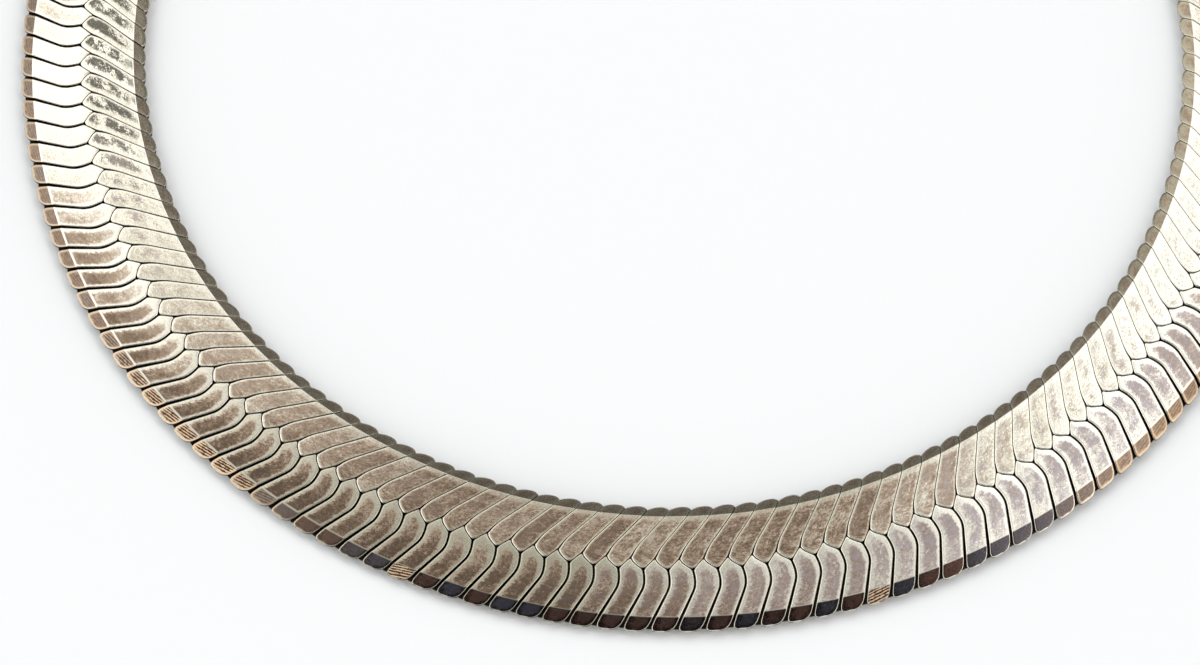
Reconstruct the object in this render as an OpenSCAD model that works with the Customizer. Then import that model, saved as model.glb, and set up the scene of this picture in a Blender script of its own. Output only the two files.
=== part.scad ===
// Flat herringbone chain collar in silver, lying as a ring on a surface.
// Angles turn counterclockwise seen from above: the clasp is at 90 degrees, the front at 270.
// Each link is one flat strip folded over both rims. Its upper outer plate dives through the spine
// and goes on as its lower inner plate. Both ends of the strip fold back over the rims and end in
// rounded tips, which hook behind the spines of links further back. So no link can leave the row.

/* [Collar] */
// Radius of the neck opening, at the inner rim
inner_r = 59.8; // [58:0.1:62]
// Width of the band, from rim to rim
band_w = 14.2; // [14:0.1:14.6]
// Thickness of the band, with both layers of plates
thick = 1.8; // [1.7:0.05:2.2]
// Gap between the upper and the lower plates
layer_gap = 0.12; // [0.1:0.01:0.2]
// Angle from one link to the next
link_step = 2.24; // [2.22:0.01:2.27]

/* [Bevels] */
// Width of the bevel along the inner rim
bevel_in = 1.36; // [1:0.02:1.5]
// Width of the bevel along the outer rim
bevel_out = 1.42; // [1:0.02:1.5]
// Height that each bevel falls
bevel_drop = 0.65; // [0.5:0.05:0.8]

/* [Outer plates] */
// Lean of the outer plates on their way to the rim
outer_lean = 26; // [24:0.5:28]
// Bend radius of the outer plates towards the rim
bend_rim_r = 2.6; // [2.4:0.1:2.8]
// Bend radius of the outer plates towards the spine
bend_spine_r = 5; // [4.5:0.1:6]
// Half of the gap between outer plates near the spine
outer_half_gap = 0.12; // [0.1:0.01:0.15]
// Half of the gap between outer plates at the rim
rim_half_gap = 0.21; // [0.15:0.01:0.25]
// Size of the rounded corners of the outer plates at the rim
corner_r = 0.5; // [0.3:0.05:0.55]

/* [Inner plates] */
// Lean of the inner plates beside the spine
inner_lean_spine = 19; // [17:0.5:21]
// Lean of the inner plates on their way to the rim
inner_lean = 38.5; // [37:0.5:39]
// Lean of the inner plates on the bevel
inner_lean_bevel = 28; // [25:0.5:30]
// Bend radius of the inner plates
inner_bend_r = 6.8; // [6.5:0.1:7.5]
// Half of the gap between inner plates
inner_half_gap = 0.07; // [0.06:0.01:0.09]
// Depth of the scallops along the inner rim
scallop = 0.42; // [0.2:0.02:0.46]

/* [Clasp] */
// Half of the angle that the clasp takes
clasp_half = 5.14; // [5:0.02:5.4]
// Least angle of each end bar, which is made longer to meet its links
bar_least = 2.2; // [1.8:0.1:3]
// Height of the clasp and the end bars
clasp_h = 2.2; // [2.1:0.1:2.6]
// Running gap between the clasp and the end bars
fit_gap = 0.15; // [0.12:0.01:0.2]

/* [Hidden] */
silver = [0.72, 0.69, 0.64];
outer_r = inner_r + band_w;
mid_r = inner_r + band_w / 2;
layer_h = (thick - layer_gap) / 2;

// Height and start of what joins the two layers: the folds at the rims and the post in the spine
join_h = 0.4 * thick;
join_z = (thick - join_h) / 2;

// Places across the band, counted from the inner rim
spine_y = 0.446 * band_w;
tip_y = 0.529 * band_w;
peak_y = 0.62 * band_w;

// Places along the band, counted from the link's zero line
tip_x = -0.17;
spine_x = -1.55;

// The edge from the tip to the spine bows out by this much
tip_bow = 0.065;

// Half gap along the radius beside a plate's tip, whose edges run at about 45 degrees
tip_half_gap = 0.085;

// Half width of the blunt wedge that an outer plate ends in at the spine
wedge_half = 0.16;

// Corners beside the tip and the spine, as [x, y] steps from there
heel_step = [0.34, -0.12];
tip_start_step = [0.42, -0.62];
tip_corner_step = [0.02, -0.12];
neck_step = [0.08, -0.1];
crotch_step = [0.1, 0.08];

// Where the bowed edge starts, turns and ends, in parts of its length
tip_round_end = 0.3;
shoulder_at = 0.8;
beside_start = 0.12;
beside_length = 0.7;

// The long edges start this far above the tip and this far below the spine
outer_start = 0.1;
inner_start = 0.35;

// The corner of an outer plate on the side of its lean is longer by this factor
long_corner = 1.3;

// The scallops are flat in the middle and steep at their ends
scallop_power = 2.4;

// Corners of a fold, as [x, y] with y counted inwards from the rim
fold_corners = [[-1.58, 0.9], [-1.65, 0.2], [-0.55, 0.35], [-0.8, 0.9]];

// Half length and half width of the diamond post in the spine
post_half_l = 0.5;
post_half_w = 0.38;

// Steps that a bend is drawn with, in the upper and in the lower plates
fine = 2;
plain = 1;

// The tips reach back by this many links
reach = 2;

// Angle from a link's zero line to the middle of its folds at the rims
rim_angle = -0.93;

// Length of the straight section that one link is cut from, longer than any link
section_l = 16;

// Zero line of link 0, just past the front
front_angle = 271.05;

// Angle from the middle of the clasp to the end bars
bar_start = clasp_half + fit_gap / mid_r * 180 / PI;

// Angles from the zero lines of the chain's end links to the faces of their end bars, which leave
// those links free and cut the next ones, whatever the step
back_angle = 7.4;
ahead_angle = 3.1;
first_link = ceil((90 + bar_start + bar_least + back_angle - front_angle) / link_step);
last_link = floor((450 - bar_start - bar_least - ahead_angle - front_angle) / link_step);
first_angle = front_angle + first_link * link_step - back_angle;
last_angle = front_angle + last_link * link_step + ahead_angle;

// Links that are cut at each end of the chain, the angle that holds them, and how far they run into
// their end bar
cut_links = 4;
cut_angle = 15;
sink_angle = 0.5;

// Broken edges of the clasp and the end bars
bar_edge = 0.3;

// Tongue of an end bar: its length past the bar, its width and height, the width and length of its
// cross head, and how far its root sits in the bar
tongue_l = 3.2;
tongue_w = 5;
tongue_h = 0.8;
head_w = 8;
head_l = 1.2;
root_l = 0.6;

// Point at x along the arc and y across the band, k links on. Low points are turned over the middle
// of the band, so a lower plate is the upper one turned half round about the line of the spine.
function spot(x, y, low, k = 0) =
    let (a = k * link_step + x / (inner_r + y) * 180 / PI,
         r = inner_r + (low ? band_w - y : y))
    [r * cos(a), r * sin(a)];

// Line between two outer plates: an arc each side of its peak, then a straight lean
turn_y = peak_y + bend_rim_r * sin(outer_lean);
turn_x = -bend_rim_r * (1 - cos(outer_lean));
function outer_line(y) =
    y > turn_y ? turn_x - (y - turn_y) * tan(outer_lean)
    : y > peak_y ? sqrt(pow(bend_rim_r, 2) - pow(y - peak_y, 2)) - bend_rim_r
    : sqrt(pow(bend_spine_r, 2) - pow(y - peak_y, 2)) - bend_spine_r;

// Half gap along the arc, wider towards the rim
function outer_gap(y) =
    outer_half_gap + (rim_half_gap - outer_half_gap) * max(0, (y - peak_y) / (band_w - peak_y));

// Line between two inner plates: an arc from the spine, a straight lean, then the bevel
arc_end_y = spine_y - inner_bend_r * (sin(inner_lean) - sin(inner_lean_spine));
arc_end_x = spine_x + inner_bend_r * (cos(inner_lean_spine) - cos(inner_lean));
bevel_x = arc_end_x + (arc_end_y - bevel_in) * tan(inner_lean);
function inner_line(y) =
    y < bevel_in ? bevel_x + (bevel_in - y) * tan(inner_lean_bevel)
    : y < arc_end_y ? arc_end_x + (arc_end_y - y) * tan(inner_lean)
    : let (s = sin(inner_lean_spine) + (spine_y - y) / inner_bend_r)
      spine_x + inner_bend_r * (cos(inner_lean_spine) - sqrt(1 - s * s));

// The gap is measured square to the leaning line, so it is longer along the arc
inner_gap = inner_half_gap / cos(inner_lean);

// Edges beside the gap between two outer or two inner plates: side is 1 right of it and -1 left of it
function outer_edge(y, side) = [outer_line(y) + side * outer_gap(y), y];
function inner_edge(y, side) = [inner_line(y) + side * inner_gap, y];

// Bowed line from the tip to the spine, with u from 0 at the tip to 1 at the spine
function tip_line(u) = [tip_x + (spine_x - tip_x) * u - tip_bow * sin(180 * u),
    tip_y + (spine_y - tip_y) * u + tip_bow * sin(180 * u)];

// Edges beside that line: side is 1 for the inner plate and -1 for the outer plate
function tip_edge(u, side) = tip_line(u) + side * tip_half_gap * [1, -1];

// Places across the band at which the long edges of the plates have their points
function outer_steps(n) =
    let (start = tip_y + outer_start, steps = 2 * n - 1)
    [for (i = [0 : steps]) start + (turn_y - start) * i / steps];
function inner_steps(n) =
    let (start = spine_y - inner_start)
    concat([for (i = [0 : n]) start - (start - arc_end_y) * i / n], [bevel_in, scallop]);
function backwards(list) = [for (i = [len(list) - 1 : -1 : 0]) list[i]];

// Rounded corner in n steps from a to b, bent towards c
function rounded(a, c, b, n) =
    [for (i = [0 : n]) let (t = i / n) (1 - t) * (1 - t) * a + 2 * t * (1 - t) * c + t * t * b];

// Outline of an outer plate: left edge, rim, right edge, edge beside the next tip, wedge at the spine
function outer_plate(n, low) =
    let (ys = outer_steps(n),
         tip = [tip_x, tip_y],
         long_r = long_corner * corner_r,
         left = concat([for (y = ys) outer_edge(y, 1)],
             rounded(outer_edge(band_w - corner_r, 1), outer_edge(band_w, 1),
                 outer_edge(band_w, 1) + [corner_r, 0], n)),
         right = concat(rounded(outer_edge(band_w, -1) - [long_r, 0], outer_edge(band_w, -1),
                 outer_edge(band_w - long_r, -1), n),
             [for (y = backwards(ys)) outer_edge(y, -1)]),
         beside_tip = [for (i = [1 : n]) tip_edge(beside_start + beside_length * i / n, -1)],
         wedge = [for (side = [1, -1]) [spine_x + side * wedge_half, spine_y + 2 * wedge_half]])
    concat([for (p = left) spot(p[0], p[1], low)],
        [for (p = concat(right, beside_tip, wedge)) spot(p[0], p[1], low, 1)],
        [for (p = [tip + heel_step]) spot(p[0], p[1], low)]);

// Outline of an inner plate: rounded tip, left edge, scalloped rim, right edge
function inner_plate(n, low) =
    let (ys = inner_steps(n),
         tip = [tip_x, tip_y],
         spine = [spine_x, spine_y],
         top = concat(rounded(tip + tip_start_step, tip + tip_corner_step,
                 tip_edge(tip_round_end, 1), n),
             [tip_edge(shoulder_at, 1), spine + neck_step + [inner_gap, 0]]),
         left = [for (y = ys) inner_edge(y, 1)],
         rim_w = inner_r * link_step * PI / 180 - 2 * inner_gap,
         rim = [for (i = [1 : n + 1]) let (u = i / (n + 2))
             [inner_line(0) + inner_gap + rim_w * u, scallop * pow(abs(2 * u - 1), scallop_power)]],
         right = [for (y = backwards(ys)) inner_edge(y, -1)],
         crotch = [spine - crotch_step - [inner_gap, 0]])
    concat([for (p = concat(top, left, rim)) spot(p[0], p[1], low)],
        [for (p = concat(right, crotch)) spot(p[0], p[1], low, 1)]);

// Outline of the fold that joins the layers at a rim, inside both of the plates that meet there
function fold(low) =
    [for (p = fold_corners) spot(p[0], band_w - p[1], low)];

// Outline of the post in the spine that joins an upper outer plate to its lower inner plate
function post() =
    let (x = spine_x * mid_r / (inner_r + spine_y))
    [for (p = [[-post_half_l, 0], [0, -post_half_w], [post_half_l, 0], [0, post_half_w]])
        spot(x + p[0], band_w / 2 + p[1], false, 1)];

// Section of the band, with bevels above and below at both rims. It runs straight on along the band,
// so each link has flat facets. Past the rims it is wider than the plates, whose outlines end there.
module band() {
    past = 0.3;
    rise_in = bevel_drop + past * bevel_drop / bevel_in;
    rise_out = bevel_drop + past * bevel_drop / bevel_out;
    rotate([0, 0, rim_angle])
        rotate([90, 0, 0])
            linear_extrude(height = section_l, center = true)
                polygon([[inner_r + bevel_in, 0], [outer_r - bevel_out, 0],
                    [outer_r + past, rise_out], [outer_r + past, thick - rise_out],
                    [outer_r - bevel_out, thick], [inner_r + bevel_in, thick],
                    [inner_r - past, thick - rise_in], [inner_r - past, rise_in]]);
}

module plate(outline, z, h) {
    translate([0, 0, z])
        linear_extrude(height = h)
            polygon(outline);
}

// One link, with its zero line at angle 0
module link() {
    intersection() {
        band();
        union() {
            plate(outer_plate(fine, false), thick - layer_h, layer_h);
            plate(outer_plate(plain, true), 0, layer_h);
            rotate([0, 0, -reach * link_step]) {
                plate(inner_plate(fine, false), thick - layer_h, layer_h);
                plate(inner_plate(plain, true), 0, layer_h);
            }
            plate(fold(false), join_z, join_h);
            plate(fold(true), join_z, join_h);
            plate(post(), join_z, join_h);
        }
    }
}

module links(from, to) {
    for (k = [from : to])
        rotate([0, 0, front_angle + k * link_step])
            link();
}

module chain_left() {
    color(silver) links(first_link, -1);
}

module chain_right() {
    color(silver) links(0, last_link);
}

// Sector of a flat ring as wide as the band, from angle a, turned through angle t, with broken edges
module sector(a, t, h, edge) {
    rotate([0, 0, a])
        rotate_extrude(angle = t, $fn = 360)
            polygon([[inner_r + edge, 0], [outer_r - edge, 0], [outer_r, edge], [outer_r, h - edge],
                [outer_r - edge, h], [inner_r + edge, h], [inner_r, h - edge], [inner_r, edge]]);
}

// Tongue of an end bar, pointing along the chain, with a cross head that holds it in the clasp
module tongue(grow) {
    low = clasp_h / 2 - tongue_h / 2 - grow;
    high = tongue_h + 2 * grow;
    translate([-root_l, -tongue_w / 2 - grow, low])
        cube([root_l + tongue_l + grow, tongue_w + 2 * grow, high]);
    translate([tongue_l - head_l - grow, -head_w / 2 - grow, low])
        cube([head_l + 2 * grow, head_w + 2 * grow, high]);
}

// Places a tongue on the face of an end bar. Side is 1 at the left of the clasp and -1 at its right
module at_bar(side) {
    rotate([0, 0, 90 + side * bar_start])
        translate([mid_r, 0, 0])
            rotate([0, 0, -side * 90])
                children();
}

// End bar with the cut ends of the chain's last links soldered in
module end_cap_left() {
    color(silver) {
        sector(90 + bar_start, first_angle - 90 - bar_start, clasp_h, bar_edge);
        at_bar(1) tongue(0);
        intersection() {
            links(first_link - cut_links, first_link - 1);
            sector(first_angle - sink_angle, cut_angle, 2 * thick, 0);
        }
    }
}

module end_cap_right() {
    color(silver) {
        sector(last_angle - 360, 450 - bar_start - last_angle, clasp_h, bar_edge);
        at_bar(-1) tongue(0);
        intersection() {
            links(last_link + 1, last_link + cut_links);
            sector(last_angle + sink_angle - cut_angle, cut_angle, 2 * thick, 0);
        }
    }
}

// Plain closed clasp, with a slot at each end for a tongue
module clasp() {
    color(silver)
        difference() {
            sector(90 - clasp_half, 2 * clasp_half, clasp_h, bar_edge);
            at_bar(1) tongue(fit_gap);
            at_bar(-1) tongue(fit_gap);
        }
}

chain_left();
chain_right();
end_cap_left();
end_cap_right();
clasp();
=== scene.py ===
"""Dresses a flat herringbone chain collar in tarnished silver, lying on a pale surface."""

from functools import partial
from math import cos, degrees, pi, radians, sin, tan
from types import SimpleNamespace

import bpy
import numpy as np
from bpy.props import FloatProperty, FloatVectorProperty, IntProperty, PointerProperty
from mathutils import Matrix, Vector


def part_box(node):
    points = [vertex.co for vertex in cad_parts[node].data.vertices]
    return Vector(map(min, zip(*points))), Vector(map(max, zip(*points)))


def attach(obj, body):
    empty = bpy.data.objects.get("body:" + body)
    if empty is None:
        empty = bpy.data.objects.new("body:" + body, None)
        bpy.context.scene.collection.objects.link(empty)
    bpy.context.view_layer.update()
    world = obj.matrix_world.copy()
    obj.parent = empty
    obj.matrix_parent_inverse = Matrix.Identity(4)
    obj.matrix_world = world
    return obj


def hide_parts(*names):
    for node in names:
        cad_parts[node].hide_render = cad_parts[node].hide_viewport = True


bl_info = {
    "name": "Herringbone Collar",
    "version": (1, 0, 0),
    "blender": (4, 5, 0),
    "location": "View3D > Sidebar > Collar",
    "description": "Dresses a flat herringbone chain collar in tarnished silver",
    "category": "Add Mesh",
}

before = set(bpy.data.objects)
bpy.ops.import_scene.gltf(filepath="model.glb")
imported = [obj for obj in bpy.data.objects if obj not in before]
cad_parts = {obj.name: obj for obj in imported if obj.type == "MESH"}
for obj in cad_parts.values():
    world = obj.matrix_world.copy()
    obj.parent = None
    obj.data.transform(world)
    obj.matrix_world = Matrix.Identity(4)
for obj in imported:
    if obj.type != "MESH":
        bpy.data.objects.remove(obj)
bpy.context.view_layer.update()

MM = 0.001

# The upper and lower inner plates of a link reach back by this many links
REACH = 2

# The scallops along the inner rim are flat in the middle and steep at their ends
SCALLOP_POWER = 2.4

# The right corner of an outer plate is longer than its left corner by this factor
LONG_CORNER = 1.3

# Columns of points of the upper and of the lower plates, in mm from a plate's sides
FINE_COLUMNS = (0, 0.03, 0.09, 0.18, 0.28)
PLAIN_COLUMNS = (0, 0.06, 0.25)

# The columns close up where a plate is narrower than this many times the last of them
NARROW = 2.6

# Rows of points that would stand closer than this become one, and no row is narrower than this
LEAST_STEP = 0.004 * MM
LEAST_WIDTH = 0.001 * MM


def linear(hex_colour):
    """Linear values of an sRGB hex colour such as #8A7B70."""
    parts = [int(hex_colour[i : i + 2], 16) / 255 for i in (1, 3, 5)]
    return tuple(c / 12.92 if c <= 0.04045 else ((c + 0.055) / 1.055) ** 2.4 for c in parts)


def length(name, description, millimetres):
    """A length of the collar, given in millimetres and kept in metres."""
    return FloatProperty(name=name, description=description, default=millimetres * MM, unit="LENGTH",
                         precision=5)


def angle(name, description, in_degrees):
    """An angle of the collar, given in degrees and kept in radians."""
    return FloatProperty(name=name, description=description, default=radians(in_degrees), subtype="ANGLE")


def colour(name, description, hex_colour):
    """A colour of a finish, given as sRGB hex and kept linear."""
    return FloatVectorProperty(name=name, description=description, default=linear(hex_colour),
                               subtype="COLOR", min=0, max=1)


class CollarSizes(bpy.types.PropertyGroup):
    """Sizes of the chain. Gaps and corners are as on a real one, and crown, fall, recess and tilt are added.
    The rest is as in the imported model"""

    inner_radius: length("Inner radius", "Radius of the neck opening at the inner rim", 59.8)
    band_width: length("Band width", "Width of the band from rim to rim", 14.2)
    thickness: length("Thickness", "Thickness of the band with both layers of plates", 1.8)
    layer_gap: length("Layer gap", "Gap between the upper and the lower plates", 0.12)
    link_step: angle("Link step", "Angle from one link to the next", 2.24)
    front_angle: angle("Front angle", "Angle of the zero line of the right half's first link", 271.05)
    rim_angle: angle("Rim angle", "Angle from a link's zero line to the middle of its folds", -0.93)
    links_left: IntProperty(name="Links left", description="Links on the left of the front", default=74)
    links_right: IntProperty(name="Links right", description="Links on the right of the front", default=76)
    bevel_inner: length("Inner bevel", "Width of the bevel along the inner rim", 1.36)
    bevel_outer: length("Outer bevel", "Width of the bevel along the outer rim", 1.42)
    bevel_drop: length("Bevel drop", "Height that each bevel falls", 0.65)
    outer_lean: angle("Outer lean", "Lean of the outer plates on their way to the rim", 26)
    bend_rim: length("Rim bend", "Bend radius of the outer plates towards the rim", 2.6)
    bend_spine: length("Spine bend", "Bend radius of the outer plates towards the spine", 5)
    outer_half_gap: length("Outer half gap", "Half of the gap between outer plates near the spine", 0.115)
    rim_half_gap: length("Rim half gap", "Half of the gap between outer plates at the rim", 0.19)
    corner: length("Corner", "Size of the rounded corners of the outer plates", 0.72)
    inner_lean_spine: angle("Inner lean at the spine", "Lean of the inner plates beside the spine", 19)
    inner_lean: angle("Inner lean", "Lean of the inner plates on their way to the rim", 38.5)
    inner_lean_bevel: angle("Inner lean on the bevel", "Lean of the inner plates on the bevel", 28)
    inner_bend: length("Inner bend", "Bend radius of the inner plates", 6.8)
    inner_half_gap: length("Inner half gap", "Half of the gap between the straight inner plates", 0.028)
    scallop: length("Scallop", "Depth of the scallops along the inner rim", 0.42)
    crown: length("Crown", "Height that the middle of a plate stands above its edges", 0.012)
    fall: angle("Fall", "Fall of both rows of plates from the spine to the bevels", 0.8)
    recess: length("Lower recess", "Distance that the lower plates stay behind the rims", 0.12)
    tilt: angle("Plate tilt", "Spread of the small tilt of each plate", 0.3)


class CollarFinish(bpy.types.PropertyGroup):
    """Colours of the silver, its tarnish and the table"""

    # This pale silver is wear in part, and also painted highlight on bright plates and along the inner
    # plates' sills
    rubbed: colour("Rubbed silver", "Silver where wear keeps it clean", "#E2DED2")
    beige: colour("Beige film", "First film of tarnish, thin and even", "#A4A391")
    khaki: colour("Khaki film", "Thin tarnish on the bright inner plates", "#A8A389")
    rose: colour("Rose tarnish", "Tarnish between the brown patches", "#A39280")
    brown: colour("Brown tarnish", "Tarnish in the middle of the plates", "#736151")
    slate: colour("Slate tarnish", "Thick tarnish in the darkest patches", "#574A3F")
    lilac: colour("Lilac tarnish", "Clouds of tarnish on bright plates", "#A19BA3")
    # Pewter is partly tarnish and partly a painted dark reflection, standing in for what the tilted inner
    # plates at the far left mirror
    pewter: colour("Pewter tarnish", "Clouds of tarnish on the inner plates at the far left", "#5C5A52")
    blue_black: colour("Blue black tarnish", "Thick tarnish on some outer bevels", "#4A4A54")
    brown_black: colour("Brown black tarnish", "Thick tarnish on the other outer bevels", "#5C4640")
    umber: colour("Umber tarnish", "Thin tarnish on the outer bevels", "#7B6A5A")
    grey: colour("Grey tarnish", "Even tarnish on the inner bevels", "#97907F")
    golden: colour("Golden silver", "Warm silver where wear has opened the tarnish", "#E9D1B3")
    tan: colour("Tan silver", "Thin tarnish along the sides of the outer bevels", "#A5957F")
    # Black tarnish in the gaps, and painted shade on the walls and undersides of the plates
    soot: colour("Black tarnish", "Tarnish in the gaps between the plates", "#1E1815")
    rust: colour("Rusty tarnish", "Brown tarnish deep in the gaps and in the cutter's lines", "#4A3020")
    satin: colour("Satin silver", "Silver of the clasp and the end bars", "#D3CEC6")
    table: colour("Table", "Pale surface that the collar lies on", "#F4F8FB")


def row_steps(*stretches):
    """Sorted rows from several lists, without rows that fall together."""
    rows = np.sort(np.concatenate([np.atleast_1d(s) for s in stretches]))
    keep = np.concatenate([[True], np.diff(rows) > LEAST_STEP])
    return rows[keep]


class LinkPlan:
    """Outlines of a link's plates: x runs along the arc from the link's zero line, y across the band."""

    def __init__(self, sizes):
        s = self.sizes = sizes
        self.step = s.link_step
        self.layer = (s.thickness - s.layer_gap) / 2
        # The line between two inner plates starts at the spine, and their tips reach past it
        self.spine = np.array([-1.55 * MM, 0.446 * s.band_width])
        self.tip = np.array([-0.17 * MM, 0.529 * s.band_width])
        self.tip_bow = 0.065 * MM
        self.tip_half_gap = 0.035 * MM
        # An outer plate ends at the spine in a wedge, and its heel is where it meets the tip beside it
        self.wedge = np.array([-0.12, 0.03]) * MM
        self.heel = self.tip + np.array([0.27, -0.26]) * MM
        # The line between two outer plates bends both ways from its peak, and then turns straight
        self.peak_y = 0.62 * s.band_width
        self.turn = np.array([-s.bend_rim * (1 - cos(s.outer_lean)),
                              self.peak_y + s.bend_rim * sin(s.outer_lean)])
        # The line between two inner plates is an arc, then straight, and turns again on the bevel
        sines = sin(s.inner_lean) - sin(s.inner_lean_spine)
        cosines = cos(s.inner_lean_spine) - cos(s.inner_lean)
        self.arc_end = self.spine + s.inner_bend * np.array([cosines, -sines])
        self.bevel_x = self.arc_end[0] + (self.arc_end[1] - s.bevel_inner) * tan(s.inner_lean)
        self.inner_gap = s.inner_half_gap / cos(s.inner_lean)
        # That line's gap widens by this many times on its way up to the spine
        self.inner_widening = 2.5

    def outer_line(self, y):
        """Line between two outer plates: an arc each side of its peak, then a straight lean."""
        s = self.sizes
        off = y - self.peak_y
        near_rim = np.sqrt(np.maximum(s.bend_rim**2 - off**2, 0)) - s.bend_rim
        near_spine = np.sqrt(np.maximum(s.bend_spine**2 - off**2, 0)) - s.bend_spine
        straight = self.turn[0] - (y - self.turn[1]) * tan(s.outer_lean)
        return np.where(y > self.turn[1], straight, np.where(off > 0, near_rim, near_spine))

    def outer_edge(self, y, side):
        """Edge of an outer plate beside that line: side is 1 right of the gap and -1 left of it."""
        s = self.sizes
        share = np.clip((y - self.peak_y) / (s.band_width - self.peak_y), 0, None)
        return self.outer_line(y) + side * (s.outer_half_gap + (s.rim_half_gap - s.outer_half_gap) * share)

    def inner_edge(self, y, side):
        """Edge of an inner plate: an arc from the spine, a straight lean, then the bevel."""
        s = self.sizes
        end_x, end_y = self.arc_end
        sine = sin(s.inner_lean_spine) + (self.spine[1] - y) / s.inner_bend
        cosine = np.sqrt(np.maximum(1 - sine**2, 0))
        arc = self.spine[0] + s.inner_bend * (cos(s.inner_lean_spine) - cosine)
        lean = end_x + (end_y - y) * tan(s.inner_lean)
        bevel = self.bevel_x + (s.bevel_inner - y) * tan(s.inner_lean_bevel)
        line = np.where(y < s.bevel_inner, bevel, np.where(y < end_y, lean, arc))
        opened = np.clip((y - end_y) / (self.spine[1] - end_y), 0, 1) ** 2
        return line + side * self.inner_gap * (1 + self.inner_widening * opened)

    def tip_edge(self, u, side):
        """Edge beside the bowed line from the tip to the spine: side is 1 inside and -1 outside of it."""
        bow = self.tip_bow * np.sin(pi * u)
        out = side * self.tip_half_gap
        x = self.tip[0] + (self.spine[0] - self.tip[0]) * u - bow + out
        y = self.tip[1] + (self.spine[1] - self.tip[1]) * u + bow - out
        return np.stack([x, y], 1)

    def turned(self, points, links=0):
        """Points as [angle, y], with the angle counted from the zero line of this link."""
        points = np.atleast_2d(points)
        turn = links * self.step + points[:, 0] / (self.sizes.inner_radius + points[:, 1])
        return np.stack([turn, points[:, 1]], 1)

    def rim_scallop(self, u):
        """How far the inner rim lies back at u, from 0 at a plate's left side to 1 at its right."""
        return self.sizes.scallop * np.abs(2 * u - 1) ** SCALLOP_POWER


def corner_bend(start, corner, end, steps):
    """Rounded corner from start to end, bent towards corner."""
    t = np.linspace(0, 1, steps)[:, None]
    return (1 - t) ** 2 * start + 2 * t * (1 - t) * corner + t**2 * end


def distance(points, line):
    """Distance from each point to a line of straight stretches."""
    start, end = line[:-1], line[1:]
    along = end - start
    size = np.maximum((along**2).sum(1), 1e-18)
    t = np.clip(((points[:, None] - start) * along).sum(2) / size, 0, 1)
    return np.linalg.norm(points[:, None] - start - t[:, :, None] * along, axis=2).min(1)


def at_sides(sides, y):
    """Angles of a plate's left and right side at places across the band."""
    return [np.interp(y, sides[name][:, 1], sides[name][:, 0]) for name in ("left", "right")]


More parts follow.
